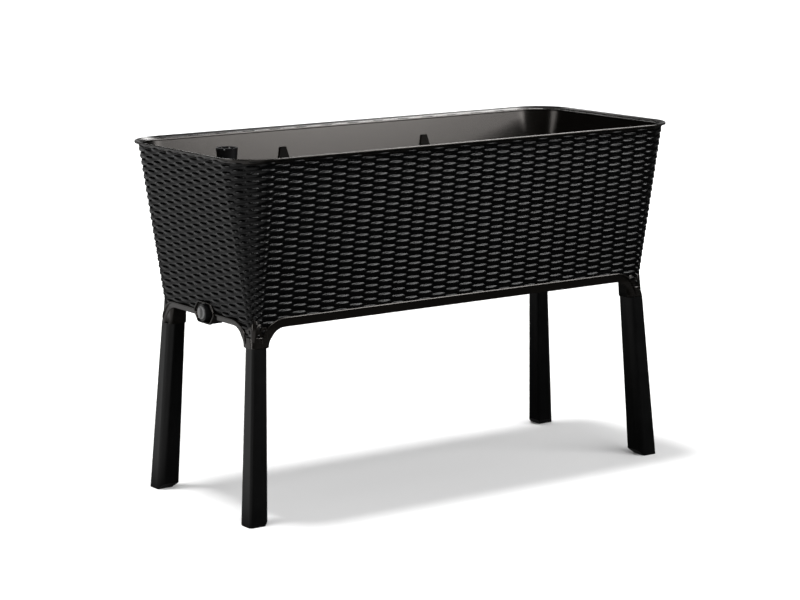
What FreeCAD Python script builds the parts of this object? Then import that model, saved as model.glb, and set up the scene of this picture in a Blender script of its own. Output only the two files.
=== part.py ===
import FreeCAD, Part
import math
import os

from FreeCAD import Vector

# Raised planter on legs. Millimetres, +Z up, +X along the length, +Y towards the back.
# The origin is on the floor, under the middle of the basin.

# Rim and walls. Half sizes are (along X, along Y), and each level has its own corner radius.
HEIGHT = 757.0
RIM_HALF = (570.0, 247.0)
RIM_CORNER = 88.0
RIM_THICK = 4.5
RIM_LIP = 2.5
RIM_BEVEL = 6.0
WALL_TOP_Z = HEIGHT - RIM_THICK
WALL_TOP_HALF = (563.1, 240.0)
WALL_TOP_CORNER = 83.0
SKIRT_Z = 402.5
SMALLEST_CORNER = 4.0
WALL_FOOT_HALF = (509.8, 187.8)
WALL_FOOT_CORNER = 20.5
WALL_THICK = 6.0
SINK = 0.5
FLOOR_Z = 437.0
FLOOR_THICK = 4.0
FLOOR_TOP = FLOOR_Z + FLOOR_THICK

# Legs: they splay outwards and widen towards the foot.
SEAM_Z = 364.0
FOOT_CENTRE = (514.6, 187.9)
FOOT_HALF = 23.8
SEAM_CENTRE = (492.6, 170.3)
SEAM_HALF = 19.7
LEG_SHARP = 6.0
LEG_ROUND = 16.0
LEG_CORNER_LEAST = 1.0
LEG_WALL = 3.5
FOOT_CUT = 12.0
SPIGOT_INSET = 4.0
SPIGOT_TOP = 424.0
SOCKET_GAP = 0.05
COLLAR_STEP = 0.6
COLLAR_TUCK = 1.5
SEAM_CORNER = 8.0
FILLET = 38.0

# False floor over the water reservoir
GRID_TOP = 501.0
GRID_THICK = 4.0
GRID_HALF = (511.0, 189.0)
GRID_CORNER = 32.0
GRID_SPLIT = 171.0
GRID_GAP = 2.0
SLOT_LENGTH = 44.0
SLOT_R = 2.5
SLOT_COLUMNS = 5
SLOT_ROWS = 11
SLOT_PITCH = (62.0, 30.0)
SLOT_CLEAR = 4.0
PANEL_GAP = 1.5
REST_GAP = 0.2
POST_R = 15.0
POST_TAPER = 3.0
POST_WALL = 2.5
POST_X = 125.0
POST_Y = 145.0
BASKET_PLACES = (-310.0, 340.0)
BASKET_TOP_R = 50.0
BASKET_FOOT_R = 40.0
BASKET_WALL = 2.5
BASKET_FLOOR_Z = 446.0
BASKET_FLANGE_R = 58.0
BASKET_FLANGE = 3.0
FLANGE_GAP = 0.1
BASKET_WINDOWS = 12
BASKET_WINDOW = (20.0, 5.0, 30.0)
BASKET_WINDOW_LIFT = 12.0

# Water gauge near the left end
GAUGE_X = -452.0
TUBE_R = 17.0
TUBE_WALL = 2.5
TUBE_SLOT = (60.0, 5.0, 22.0)
TUBE_SLOT_LIFT = 13.0
HOLDER_WALL = 3.5
HOLDER_HEIGHT = 10.0
TUBE_TOP = 735.0
CAP_FOOT_R = 19.5
CAP_TOP_R = 23.0
CAP_FOOT_Z = 718.0
CAP_TOP_Z = 753.0
CROWN_SLOTS = 8
CROWN_SLOT = 3.2
WINDOW_R = 18.5
WINDOW_Z = 747.5
WINDOW_THICK = 2.5
FLOAT_R = 13.0
FLOAT_Z = 443.0
FLOAT_HEIGHT = 24.0
FLOAT_ROUND = 3.0
ROD_R = 2.0
MARKER_Z = 690.0
MARKER_R = 6.0
MARKER_HEIGHT = 12.0
CLIP_Z = 680.0
CLIP_HEIGHT = 12.0
CLIP_ARM = 10.0
CLIP_PAD = 4.0
WALL_GAP = 0.1

# Braces inside the long walls
BRACE_PLACES = (-176.0, 203.5)
BRACE_TOP_Z = 712.5
BRACE_FOOT_Z = 560.0
BRACE_TAPER = 32.0
BRACE_TOP_HALF = 7.2
BRACE_MIDDLE_HALF = 15.0
BRACE_FOOT_HALF = 18.0
BRACE_DEPTH = 4.0

# Drain in the left end
DRAIN_Z = 413.5
COWL_HALF = (42.0, 22.5)
COWL_FLAT = 25.0
COWL_CORNER = 9.0
COWL_WALL = 3.5
COWL_FRONT_X = -514.5
COWL_BACK_X = -486.0
VALVE_R = 17.5
VALVE_FRONT_X = -520.0
VALVE_BACK_X = -488.0
PIPE_R = 8.5
PIPE_WALL = 2.2
PIPE_CLEAR = 0.3
OUTLET_X = -400.0
OUTLET_RISE = 14.0
FLANGE_R = 17.0
FLANGE_THICK = 3.0
GASKET_THICK = 2.4
NUT_R = 19.0
NUT_THICK = 8.0
STRAINER_FOOT_R = 24.0
STRAINER_TOP_R = 22.0
STRAINER_HEIGHT = 24.0
STRAINER_WALL = 2.0
STRAINER_SLOTS = 10
STRAINER_SLOT = (10.0, 2.4, 15.0)
PIPE_SEAT = 4.0
SPOUT_R = 3.5
SPOUT_X = -505.0
KNOB_R = 13.6
KNOB_FRONT_X = -523.0
KNOB_BACK_X = -517.4
KNOB_GAP = 0.3
KNOB_RECESS = 4.2
KNOB_ROUND = 1.5
KNOB_DISH = 2.0
GRIP_PROUD = 4.0
GRIP_WIDE = 6.5
SEAL_THICK = 1.2
SPINDLE_R = 5.0
SPINDLE_BACK_X = -496.0
RUN_GAP = 0.05

MM3_IN_CM3 = 1000.0

CORNERS = [("front_left", -1, -1), ("front_right", 1, -1), ("rear_left", -1, 1), ("rear_right", 1, 1)]


def between(low, high, share):
    """A value part of the way from low to high."""
    return low + (high - low) * share


def rounded_wire(half, radii, z, centre=(0.0, 0.0)):
    """A closed wire: a rectangle with its own radius at each corner, counter-clockwise from +X+Y."""
    edges = []
    ends = []
    for index, (sx, sy) in enumerate([(1, 1), (-1, 1), (-1, -1), (1, -1)]):
        radius = radii[index]
        middle = Vector(centre[0] + sx * (half[0] - radius), centre[1] + sy * (half[1] - radius), z)
        points = []
        for step in range(3):
            angle = math.radians(90.0 * index + 45.0 * step)
            points.append(middle + Vector(radius * math.cos(angle), radius * math.sin(angle), 0))
        ends.append(points)
    for index in range(4):
        first, middle, last = ends[index]
        edges.append(Part.Arc(first, middle, last).toShape())
        edges.append(Part.LineSegment(last, ends[(index + 1) % 4][0]).toShape())
    return Part.Wire(edges)


def loft(levels):
    """A solid through wires given as (half sizes, four radii, z, centre)."""
    return Part.makeLoft([rounded_wire(*level) for level in levels], True, True)


def wall_level(z, inset=0.0):
    """Half sizes and corner radius of the outer wall at height z, moved inwards by inset."""
    share = (z - SKIRT_Z) / (WALL_TOP_Z - SKIRT_Z)
    half = [between(WALL_FOOT_HALF[i], WALL_TOP_HALF[i], share) - inset for i in (0, 1)]
    radius = max(between(WALL_FOOT_CORNER, WALL_TOP_CORNER, share) - inset, SMALLEST_CORNER)
    return (half, [radius] * 4, z)


def wall_solid(low, high, inset=0.0):
    """The space inside the outer wall between two heights, moved inwards by inset."""
    return loft([wall_level(low, inset), wall_level(high, inset)])


def leg_level(z, sx, sy, grow=0.0, outer_radius=LEG_SHARP, tuck=0.0):
    """A leg's section at height z, moved towards the middle by tuck: sharp at its outer and inner corners."""
    share = z / SEAM_Z
    half = between(FOOT_HALF, SEAM_HALF, share) + grow
    centre = [between(FOOT_CENTRE[i], SEAM_CENTRE[i], share) - tuck for i in (0, 1)]
    radii = []
    for qx, qy in [(1, 1), (-1, 1), (-1, -1), (1, -1)]:
        if (qx, qy) == (sx, sy):
            radii.append(max(outer_radius + grow, LEG_CORNER_LEAST))
        elif (qx, qy) == (-sx, -sy):
            radii.append(max(LEG_SHARP + grow, LEG_CORNER_LEAST))
        else:
            radii.append(max(LEG_ROUND + grow, LEG_CORNER_LEAST))
    return ((half, half), radii, z, (sx * centre[0], sy * centre[1]))


def leg_solid(low, high, sx, sy, grow=0.0):
    """A leg's outline between two heights, moved outwards by grow."""
    return loft([leg_level(low, sx, sy, grow), leg_level(high, sx, sy, grow)])


def rod(radius, length, start, direction=Vector(0, 0, 1)):
    """A round bar."""
    return Part.makeCylinder(radius, length, start, direction)


def pipe(radius, bore, length, start, direction=Vector(0, 0, 1)):
    """A round tube."""
    return rod(radius, length, start, direction).cut(rod(bore, length, start, direction))


def prism(points, direction):
    """A flat outline of straight edges, pushed along a direction."""
    wire = Part.makePolygon([Vector(*p) for p in points] + [Vector(*points[0])])
    return Part.Face(wire).extrude(direction)


def cavity():
    """The space inside the basin, from its floor up through the rim."""
    return wall_solid(FLOOR_TOP, HEIGHT - RIM_BEVEL, WALL_THICK)


def rim():
    """The flange round the top, with a raised outer lip and a bevel down to the inner wall."""
    plate = Part.Face(rounded_wire(RIM_HALF, [RIM_CORNER] * 4, WALL_TOP_Z)).extrude(Vector(0, 0, RIM_THICK))
    lip_half = [h - RIM_LIP for h in RIM_HALF]
    inner_half, inner_radii, low = wall_level(HEIGHT - RIM_BEVEL, WALL_THICK)
    funnel = loft([(inner_half, inner_radii, low), (lip_half, [RIM_CORNER - RIM_LIP] * 4, HEIGHT)])
    return plate, funnel


def corner_webs():
    """Curved webs that carry the skirt down into each leg collar, in the plane of the skirt."""
    seam = ([SEAM_CENTRE[i] + SEAM_HALF + COLLAR_STEP for i in (0, 1)], [SEAM_CORNER] * 4, SEAM_Z)
    seam_inner = ([h - WALL_THICK for h in seam[0]], [SMALLEST_CORNER] * 4, SEAM_Z)
    ring = loft([seam, wall_level(SKIRT_Z)]).cut(loft([seam_inner, wall_level(SKIRT_Z, WALL_THICK)]))
    share = SKIRT_Z / SEAM_Z
    inner_edge = [between(FOOT_CENTRE[i] - FOOT_HALF, SEAM_CENTRE[i] - SEAM_HALF, share) for i in (0, 1)]
    cutters = []
    for axis in (0, 1):
        reach = inner_edge[axis] - FILLET
        across = 2 * RIM_HALF[1 - axis]
        size = [0.0, 0.0, SKIRT_Z - SEAM_Z]
        size[axis] = 2 * reach
        size[1 - axis] = across
        middle = Part.makeBox(*size, Vector(-size[0] / 2, -size[1] / 2, SEAM_Z))
        cutters.append(middle)
        for sign in (-1, 1):
            start = [0.0, 0.0, SKIRT_Z - FILLET]
            start[axis] = sign * reach
            start[1 - axis] = -across / 2
            along = Vector(0, 1, 0) if axis == 0 else Vector(1, 0, 0)
            cutters.append(rod(FILLET, across, Vector(*start), along))
    # A web survives only where neither long nor end arches take it away.
    arch_long = cutters[0].fuse(cutters[1:3])
    arch_end = cutters[3].fuse(cutters[4:6])
    return ring.cut(arch_long).cut(arch_end)


def cowl_outline(grow, x):
    """Rounded six-sided outline of the drain cowl, as a face looking along X."""
    half_y = COWL_HALF[0] + grow
    half_z = COWL_HALF[1] + grow
    flat = COWL_FLAT + grow / 2
    corners = [(half_y, 0), (flat, half_z), (-flat, half_z), (-half_y, 0), (-flat, -half_z), (flat, -half_z)]
    points = [Vector(x, y, DRAIN_Z + z) for y, z in corners]
    radius = COWL_CORNER + grow
    edges = []
    starts = []
    for index, point in enumerate(points):
        before = (points[index - 1] - point).normalize()
        after = (points[(index + 1) % 6] - point).normalize()
        half_turn = before.getAngle(after) / 2
        trim = radius / math.tan(half_turn)
        middle = point + (before + after).normalize() * (radius / math.sin(half_turn) - radius)
        starts.append((point + before * trim, middle, point + after * trim))
    for index in range(6):
        first, middle, last = starts[index]
        edges.append(Part.Arc(first, middle, last).toShape())
        edges.append(Part.LineSegment(last, starts[(index + 1) % 6][0]).toShape())
    return Part.Face(Part.Wire(edges))


def basin():
    """The woven-look tub with its rim, floor, skirt, leg sockets and drain cowl."""
    body = wall_solid(SKIRT_Z, WALL_TOP_Z)
    plate, funnel = rim()
    body = body.fuse(plate)
    body = body.cut(cavity()).cut(funnel)
    body = body.cut(wall_solid(SKIRT_Z, FLOOR_Z, WALL_THICK))
    body = body.fuse(corner_webs())
    for _, sx, sy in CORNERS:
        low = leg_level(SEAM_Z, sx, sy, COLLAR_STEP, LEG_SHARP, COLLAR_TUCK)
        skirt = leg_level(SKIRT_Z, sx, sy, 0.0, WALL_FOOT_CORNER, COLLAR_TUCK)
        high = leg_level(FLOOR_Z + 1, sx, sy, 0.0, WALL_FOOT_CORNER, COLLAR_TUCK)
        body = body.fuse(loft([low, skirt])).fuse(loft([skirt, high]))
    length = Vector(COWL_BACK_X - COWL_FRONT_X, 0, 0)
    body = body.fuse(cowl_outline(0.0, COWL_FRONT_X).extrude(length).cut(cavity()))
    body = body.cut(cowl_outline(-COWL_WALL, COWL_FRONT_X - 1).extrude(length * 2))
    for _, sx, sy in CORNERS:
        body = body.cut(leg_solid(SEAM_Z, SPIGOT_TOP + 1, sx, sy, SOCKET_GAP - SPIGOT_INSET))
    socket = pipe(TUBE_R + HOLDER_WALL, TUBE_R + RUN_GAP, HOLDER_HEIGHT, Vector(GAUGE_X, 0, FLOOR_TOP - SINK))
    body = body.fuse(socket)
    body = body.cut(rod(PIPE_R + PIPE_CLEAR, 4 * FLOOR_THICK, Vector(OUTLET_X, 0, FLOOR_Z - FLOOR_THICK)))
    return body


def leg(sx, sy):
    """One hollow leg with a spigot at its top and a chamfered foot."""
    body = leg_solid(0, SEAM_Z, sx, sy).fuse(leg_solid(SEAM_Z, SPIGOT_TOP, sx, sy, -SPIGOT_INSET))
    inside = leg_solid(LEG_WALL, SEAM_Z, sx, sy, -SPIGOT_INSET - LEG_WALL)
    inside = inside.fuse(leg_solid(SEAM_Z, SPIGOT_TOP, sx, sy, -SPIGOT_INSET - LEG_WALL))
    body = body.cut(inside)
    x = sx * (FOOT_CENTRE[0] - FOOT_HALF)
    y = sy * (FOOT_CENTRE[1] - FOOT_HALF)
    wide = 4 * FOOT_HALF
    # Each cutter is a wedge whose slope leaves the foot's inner bottom edge at 45 degrees.
    wedge = [(-wide, -wide), (FOOT_CUT + 1, -1), (-wide, FOOT_CUT + wide)]
    start_y = y - sy * FOOT_HALF
    cut_x = prism([(x + sx * a, start_y, b) for a, b in wedge], Vector(0, sy * wide, 0))
    start_x = x - sx * FOOT_HALF
    cut_y = prism([(start_x, y + sy * a, b) for a, b in wedge], Vector(sx * wide, 0, 0))
    body = body.cut(cut_x).cut(cut_y)
    return body


def slots(columns, rows, middle_x, pitch):
    """Round-ended drainage slots through the false floor, for one panel."""
    cutters = []
    for column in range(columns):
        for row in range(rows):
            x = middle_x + (column - (columns - 1) / 2) * pitch[0]
            y = (row - (rows - 1) / 2) * pitch[1]
            straight = SLOT_LENGTH - 2 * SLOT_R
            base = Vector(x - straight / 2, y, GRID_TOP - 2 * GRID_THICK)
            deep = 3 * GRID_THICK
            cutters.append(Part.makeBox(straight, 2 * SLOT_R, deep, base - Vector(0, SLOT_R, 0)))
            cutters.append(rod(SLOT_R, deep, base))
            cutters.append(rod(SLOT_R, deep, base + Vector(straight, 0, 0)))
    return cutters


def soil_grid(low_x, high_x, basket_x):
    """One slotted panel of the false floor, standing on four hollow posts."""
    outline = Part.Face(rounded_wire(GRID_HALF, [GRID_CORNER] * 4, GRID_TOP - GRID_THICK))
    whole = outline.extrude(Vector(0, 0, GRID_THICK))
    depth = 2 * RIM_HALF[1]
    span = Part.makeBox(high_x - low_x, depth, HEIGHT - FLOOR_Z, Vector(low_x, -depth / 2, FLOOR_Z))
    panel = whole.common(span)
    middle = (low_x + high_x) / 2
    keep_clear = []
    posts = []
    for x in (middle - POST_X, middle + POST_X):
        for y in (-POST_Y, POST_Y):
            base = Vector(x, y, FLOOR_TOP + REST_GAP)
            height = GRID_TOP - GRID_THICK - base.z + 1
            post = Part.makeCone(POST_R - POST_TAPER, POST_R, height, base)
            bore = POST_R - POST_WALL
            hollow = Part.makeCone(bore - POST_TAPER, bore, height, base)
            posts.append(post.cut(hollow))
            keep_clear.append(rod(POST_R + SLOT_CLEAR, height, base))
    height = GRID_TOP - FLOOR_TOP
    if basket_x is not None:
        keep_clear.append(rod(BASKET_FLANGE_R + SLOT_CLEAR, height, Vector(basket_x, 0, FLOOR_TOP)))
    if low_x < GAUGE_X < high_x:
        keep_clear.append(rod(TUBE_R + 2 * SLOT_CLEAR, height, Vector(GAUGE_X, 0, FLOOR_TOP)))
        keep_clear.append(rod(STRAINER_FOOT_R + 2 * SLOT_CLEAR, height, Vector(OUTLET_X, 0, FLOOR_TOP)))
    kept = Part.makeCompound(keep_clear)
    cutters = [c for c in slots(SLOT_COLUMNS, SLOT_ROWS, middle, SLOT_PITCH) if c.distToShape(kept)[0] > 1]
    panel = panel.cut(Part.makeCompound(cutters))
    panel = panel.fuse(posts)
    if basket_x is not None:
        panel = panel.cut(rod(BASKET_TOP_R + PANEL_GAP, height, Vector(basket_x, 0, FLOOR_TOP)))
    if low_x < GAUGE_X < high_x:
        panel = panel.cut(rod(TUBE_R + PANEL_GAP, height, Vector(GAUGE_X, 0, FLOOR_TOP)))
    return panel


def wick_basket(x):
    """A tapered cup that carries soil down into the water, slotted round its side."""
    height = GRID_TOP - BASKET_FLOOR_Z
    base = Vector(x, 0, BASKET_FLOOR_Z)
    cup = Part.makeCone(BASKET_FOOT_R, BASKET_TOP_R, height, base)
    flange_base = Vector(x, 0, GRID_TOP + FLANGE_GAP)
    cup = cup.fuse(rod(BASKET_TOP_R, 1, Vector(x, 0, GRID_TOP - SINK)))
    cup = cup.fuse(rod(BASKET_FLANGE_R, BASKET_FLANGE, flange_base))
    lifted = base + Vector(0, 0, BASKET_WALL)
    inner_foot = BASKET_FOOT_R - BASKET_WALL
    inner_top = BASKET_TOP_R - BASKET_WALL
    deep = height - BASKET_WALL + BASKET_FLANGE + 2 * FLANGE_GAP
    inside = Part.makeCone(inner_foot, inner_top, deep, lifted)
    cup = cup.cut(inside)
    for index in range(BASKET_WINDOWS):
        radial = BASKET_FOOT_R - BASKET_WINDOW[0] / 2
        corner = Vector(radial, -BASKET_WINDOW[1] / 2, BASKET_FLOOR_Z + BASKET_WINDOW_LIFT)
        window = Part.makeBox(*BASKET_WINDOW, corner)
        window.rotate(Vector(0, 0, 0), Vector(0, 0, 1), 360.0 * index / BASKET_WINDOWS)
        window.translate(Vector(x, 0, 0))
        cup = cup.cut(window)
    return cup


def gauge_tube():
    """Standing tube round the float, with water slots at its foot."""
    height = TUBE_TOP - FLOOR_TOP - REST_GAP
    tube = pipe(TUBE_R, TUBE_R - TUBE_WALL, height, Vector(GAUGE_X, 0, FLOOR_TOP + REST_GAP))
    long, wide, tall = TUBE_SLOT
    for angle in (0, 90):
        slot = Part.makeBox(long, wide, tall, Vector(-long / 2, -wide / 2, FLOOR_TOP + TUBE_SLOT_LIFT))
        slot.rotate(Vector(0, 0, 0), Vector(0, 0, 1), angle)
        slot.translate(Vector(GAUGE_X, 0, 0))
        tube = tube.cut(slot)
    return tube


def gauge_clip():
    """Ring round the gauge tube, with an arm to the end wall."""
    ring = rod(TUBE_R + HOLDER_WALL, CLIP_HEIGHT, Vector(GAUGE_X, 0, CLIP_Z))
    reach = RIM_HALF[0] + GAUGE_X
    start_x = GAUGE_X - reach
    arm = Part.makeBox(reach, CLIP_ARM, CLIP_HEIGHT, Vector(start_x, -CLIP_ARM / 2, CLIP_Z))
    pad = Part.makeBox(reach, 2 * TUBE_R, CLIP_HEIGHT, Vector(start_x, -TUBE_R, CLIP_Z))
    near_wall = pad.cut(wall_solid(FLOOR_TOP, WALL_TOP_Z, WALL_THICK + CLIP_PAD))
    body = ring.fuse(arm).fuse(near_wall)
    body = body.cut(rod(TUBE_R + RUN_GAP, CLIP_HEIGHT, Vector(GAUGE_X, 0, CLIP_Z)))
    return body.common(wall_solid(FLOOR_TOP, WALL_TOP_Z, WALL_THICK + WALL_GAP))


def gauge_cap():
    """Tapered cap that sits over the tube, with a slotted crown round its window."""
    base = Vector(GAUGE_X, 0, CAP_FOOT_Z)
    cap = Part.makeCone(CAP_FOOT_R, CAP_TOP_R, CAP_TOP_Z - CAP_FOOT_Z, base)
    cap = cap.cut(rod(TUBE_R + RUN_GAP, TUBE_TOP - CAP_FOOT_Z, base))
    cap = cap.cut(rod(TUBE_R - TUBE_WALL, WINDOW_Z - CAP_FOOT_Z, base))
    cap = cap.cut(rod(WINDOW_R + RUN_GAP, CAP_TOP_Z - WINDOW_Z, Vector(GAUGE_X, 0, WINDOW_Z)))
    crown_z = WINDOW_Z + WINDOW_THICK
    radial = WINDOW_R - CROWN_SLOT
    for index in range(CROWN_SLOTS):
        corner = Vector(radial, -CROWN_SLOT / 2, crown_z)
        slot = Part.makeBox(CAP_TOP_R - radial + 1, CROWN_SLOT, CAP_TOP_Z - crown_z + 1, corner)
        slot.rotate(Vector(0, 0, 0), Vector(0, 0, 1), 360.0 * index / CROWN_SLOTS)
        slot.translate(Vector(GAUGE_X, 0, 0))
        cap = cap.cut(slot)
    return cap


def gauge_float():
    """Sealed float with rounded ends."""
    body = rod(FLOAT_R, FLOAT_HEIGHT, Vector(GAUGE_X, 0, FLOAT_Z))
    return body.makeFillet(FLOAT_ROUND, [e for e in body.Edges if e.Length > 2 * FLOAT_HEIGHT])


def wall_braces(side):
    """Two flared braces against one long wall, one group of separate solids."""
    room = wall_solid(FLOOR_TOP, WALL_TOP_Z, WALL_THICK + WALL_GAP)
    skin = room.cut(wall_solid(FLOOR_TOP, WALL_TOP_Z, WALL_THICK + BRACE_DEPTH))
    braces = []
    middle_z = BRACE_TOP_Z - BRACE_TAPER
    shape = [
        (-BRACE_FOOT_HALF, BRACE_FOOT_Z), (BRACE_FOOT_HALF, BRACE_FOOT_Z), (BRACE_MIDDLE_HALF, middle_z),
        (BRACE_TOP_HALF, BRACE_TOP_Z), (-BRACE_TOP_HALF, BRACE_TOP_Z), (-BRACE_MIDDLE_HALF, middle_z),
    ]
    start_y = side * WALL_FOOT_HALF[1] / 2
    reach = Vector(0, side * WALL_FOOT_HALF[1], 0)
    for x in BRACE_PLACES:
        outline = prism([(x + dx, start_y, z) for dx, z in shape], reach)
        braces.append(outline.common(skin))
    return Part.makeCompound(braces)


def drain_elbow():
    """Pipe from the valve along X, then up through the basin floor, with a flange under it."""
    start = Vector(VALVE_BACK_X, 0, DRAIN_Z)
    along = Vector(1, 0, 0)
    turn = Vector(OUTLET_X, 0, DRAIN_Z)
    rise = FLOOR_TOP + OUTLET_RISE - DRAIN_Z
    body = rod(PIPE_R, OUTLET_X - VALVE_BACK_X, start, along).fuse(rod(PIPE_R, rise, turn))
    body = body.fuse(Part.makeSphere(PIPE_R, turn))
    flange_z = FLOOR_Z - GASKET_THICK - 2 * RUN_GAP - FLANGE_THICK
    body = body.fuse(rod(FLANGE_R, FLANGE_THICK, Vector(OUTLET_X, 0, flange_z)))
    bore = PIPE_R - PIPE_WALL
    body = body.cut(rod(bore, OUTLET_X - VALVE_BACK_X, start, along))
    return body.cut(rod(bore, rise, turn)).cut(Part.makeSphere(bore, turn))


def drain_gasket():
    """Soft ring between the elbow's flange and the basin floor."""
    base = Vector(OUTLET_X, 0, FLOOR_Z - GASKET_THICK - RUN_GAP)
    return pipe(FLANGE_R - 1, PIPE_R + RUN_GAP, GASKET_THICK, base)


def drain_nut():
    """Six-sided nut that clamps the elbow to the basin floor."""
    points = []
    for index in range(6):
        angle = math.radians(60 * index)
        x = OUTLET_X + NUT_R * math.cos(angle)
        points.append((x, NUT_R * math.sin(angle), FLOOR_TOP + RUN_GAP))
    nut = prism(points, Vector(0, 0, NUT_THICK))
    return nut.cut(rod(PIPE_R + RUN_GAP, 2 * NUT_THICK, Vector(OUTLET_X, 0, FLOOR_TOP - 1)))


def drain_strainer():
    """Slotted cup over the outlet that keeps soil out of the drain."""
    base = Vector(OUTLET_X, 0, FLOOR_TOP + REST_GAP)
    cup = Part.makeCone(STRAINER_FOOT_R, STRAINER_TOP_R, STRAINER_HEIGHT, base)
    inner_height = STRAINER_HEIGHT - STRAINER_WALL
    foot_bore = STRAINER_FOOT_R - STRAINER_WALL
    cup = cup.cut(Part.makeCone(foot_bore, STRAINER_TOP_R - STRAINER_WALL, inner_height, base))
    long, wide, tall = STRAINER_SLOT
    for index in range(STRAINER_SLOTS):
        corner = Vector(STRAINER_TOP_R - long / 2, -wide / 2, FLOOR_TOP + wide)
        slot = Part.makeBox(long, wide, tall, corner)
        slot.rotate(Vector(0, 0, 0), Vector(0, 0, 1), 360.0 * index / STRAINER_SLOTS)
        slot.translate(Vector(OUTLET_X, 0, 0))
        cup = cup.cut(slot)
    return cup


def drain_valve():
    """Round valve body in the cowl, with a recess for the knob and a spout hole underneath."""
    start = Vector(VALVE_FRONT_X, 0, DRAIN_Z)
    along = Vector(1, 0, 0)
    body = rod(VALVE_R, VALVE_BACK_X - VALVE_FRONT_X, start, along)
    body = body.cut(rod(KNOB_R + KNOB_GAP, KNOB_RECESS, start, along))
    body = body.cut(rod(SPINDLE_R + RUN_GAP, VALVE_BACK_X - VALVE_FRONT_X, start, along))
    seat = rod(PIPE_R + RUN_GAP, PIPE_SEAT, Vector(VALVE_BACK_X - PIPE_SEAT, 0, DRAIN_Z), along)
    spout = rod(SPOUT_R, 2 * VALVE_R, Vector(SPOUT_X, 0, DRAIN_Z - 2 * VALVE_R))
    return body.cut(seat).cut(spout)


def knob_seal():
    """Soft ring that seals the spindle against the valve body's recess."""
    start = Vector(VALVE_FRONT_X + KNOB_RECESS - SEAL_THICK, 0, DRAIN_Z)
    return pipe(SPINDLE_R + SEAL_THICK * 2, SPINDLE_R + RUN_GAP, SEAL_THICK, start, Vector(1, 0, 0))


def drain_knob():
    """Quarter-turn knob: a dished round face with an upright grip bar."""
    along = Vector(1, 0, 0)
    disc = rod(KNOB_R, KNOB_BACK_X - KNOB_FRONT_X, Vector(KNOB_FRONT_X, 0, DRAIN_Z), along)
    front = [e for e in disc.Edges if abs(e.CenterOfMass.x - KNOB_FRONT_X) < RUN_GAP]
    disc = disc.makeFillet(KNOB_ROUND, front)
    disc = disc.cut(rod(KNOB_R - GRIP_PROUD, KNOB_DISH, Vector(KNOB_FRONT_X - RUN_GAP, 0, DRAIN_Z), along))
    grip_x = KNOB_FRONT_X - GRIP_PROUD
    half_long = KNOB_R - KNOB_ROUND - 1
    corner = Vector(grip_x, -GRIP_WIDE / 2, DRAIN_Z - half_long)
    bar = Part.makeBox(KNOB_BACK_X - grip_x - 1, GRIP_WIDE, 2 * half_long, corner)
    bar = bar.makeFillet(KNOB_ROUND, [e for e in bar.Edges if e.CenterOfMass.x < grip_x + RUN_GAP])
    return disc.fuse(bar)


def drain_spindle():
    """Round spindle that turns with the knob inside the valve body."""
    start = KNOB_BACK_X + RUN_GAP / 2
    return rod(SPINDLE_R, SPINDLE_BACK_X - start, Vector(start, 0, DRAIN_Z), Vector(1, 0, 0))


def build():
    """Every sub-part by node name."""
    nodes = {"basin": basin()}
    for name, sx, sy in CORNERS:
        nodes["leg_" + name] = leg(sx, sy)
    inner_edge = GRID_SPLIT - GRID_GAP / 2
    outer_edge = GRID_SPLIT + GRID_GAP / 2
    left_x, right_x = BASKET_PLACES
    nodes["soil_grid_left"] = soil_grid(-GRID_HALF[0], -outer_edge, left_x)
    nodes["soil_grid_middle"] = soil_grid(-inner_edge, inner_edge, None)
    nodes["soil_grid_right"] = soil_grid(outer_edge, GRID_HALF[0], right_x)
    nodes["wick_basket_left"] = wick_basket(left_x)
    nodes["wick_basket_right"] = wick_basket(right_x)
    nodes["gauge_tube"] = gauge_tube()
    nodes["gauge_clip"] = gauge_clip()
    nodes["gauge_cap"] = gauge_cap()
    nodes["gauge_window"] = rod(WINDOW_R, WINDOW_THICK, Vector(GAUGE_X, 0, WINDOW_Z))
    nodes["gauge_float"] = gauge_float()
    rod_foot = FLOAT_Z + FLOAT_HEIGHT
    nodes["float_rod"] = rod(ROD_R, MARKER_Z - rod_foot, Vector(GAUGE_X, 0, rod_foot))
    nodes["float_marker"] = rod(MARKER_R, MARKER_HEIGHT, Vector(GAUGE_X, 0, MARKER_Z))
    nodes["wall_braces_front"] = wall_braces(-1)
    nodes["wall_braces_rear"] = wall_braces(1)
    nodes["drain_elbow"] = drain_elbow()
    nodes["drain_gasket"] = drain_gasket()
    nodes["drain_nut"] = drain_nut()
    nodes["drain_strainer"] = drain_strainer()
    nodes["drain_valve"] = drain_valve()
    nodes["knob_seal"] = knob_seal()
    nodes["drain_knob"] = drain_knob()
    nodes["drain_spindle"] = drain_spindle()
    return nodes


os.makedirs("parts", exist_ok=True)
for node, shape in build().items():
    state = "valid" if shape.isValid() else "INVALID"
    print(node, len(shape.Solids), state, round(shape.Volume / MM3_IN_CM3, 2), "cm3")
    shape.exportStep("parts/" + node + ".step")
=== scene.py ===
import math

import bpy
import numpy as np
from mathutils import Matrix, Vector


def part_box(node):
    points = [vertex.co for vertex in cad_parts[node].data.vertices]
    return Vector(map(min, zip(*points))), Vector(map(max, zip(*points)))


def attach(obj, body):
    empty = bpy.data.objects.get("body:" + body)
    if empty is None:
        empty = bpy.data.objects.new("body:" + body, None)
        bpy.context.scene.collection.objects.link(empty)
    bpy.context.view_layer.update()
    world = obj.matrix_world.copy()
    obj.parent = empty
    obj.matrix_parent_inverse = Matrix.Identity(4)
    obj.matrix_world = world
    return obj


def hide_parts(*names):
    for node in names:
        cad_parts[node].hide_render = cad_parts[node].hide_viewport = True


# Raised planter on legs: a tapered tub with a wicker relief, four splayed legs, a water gauge inside the left
# end and a drain in the skirt below it.
# Metres, in the CAD frame: +Z up, +X along the length, +Y towards the back.

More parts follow.
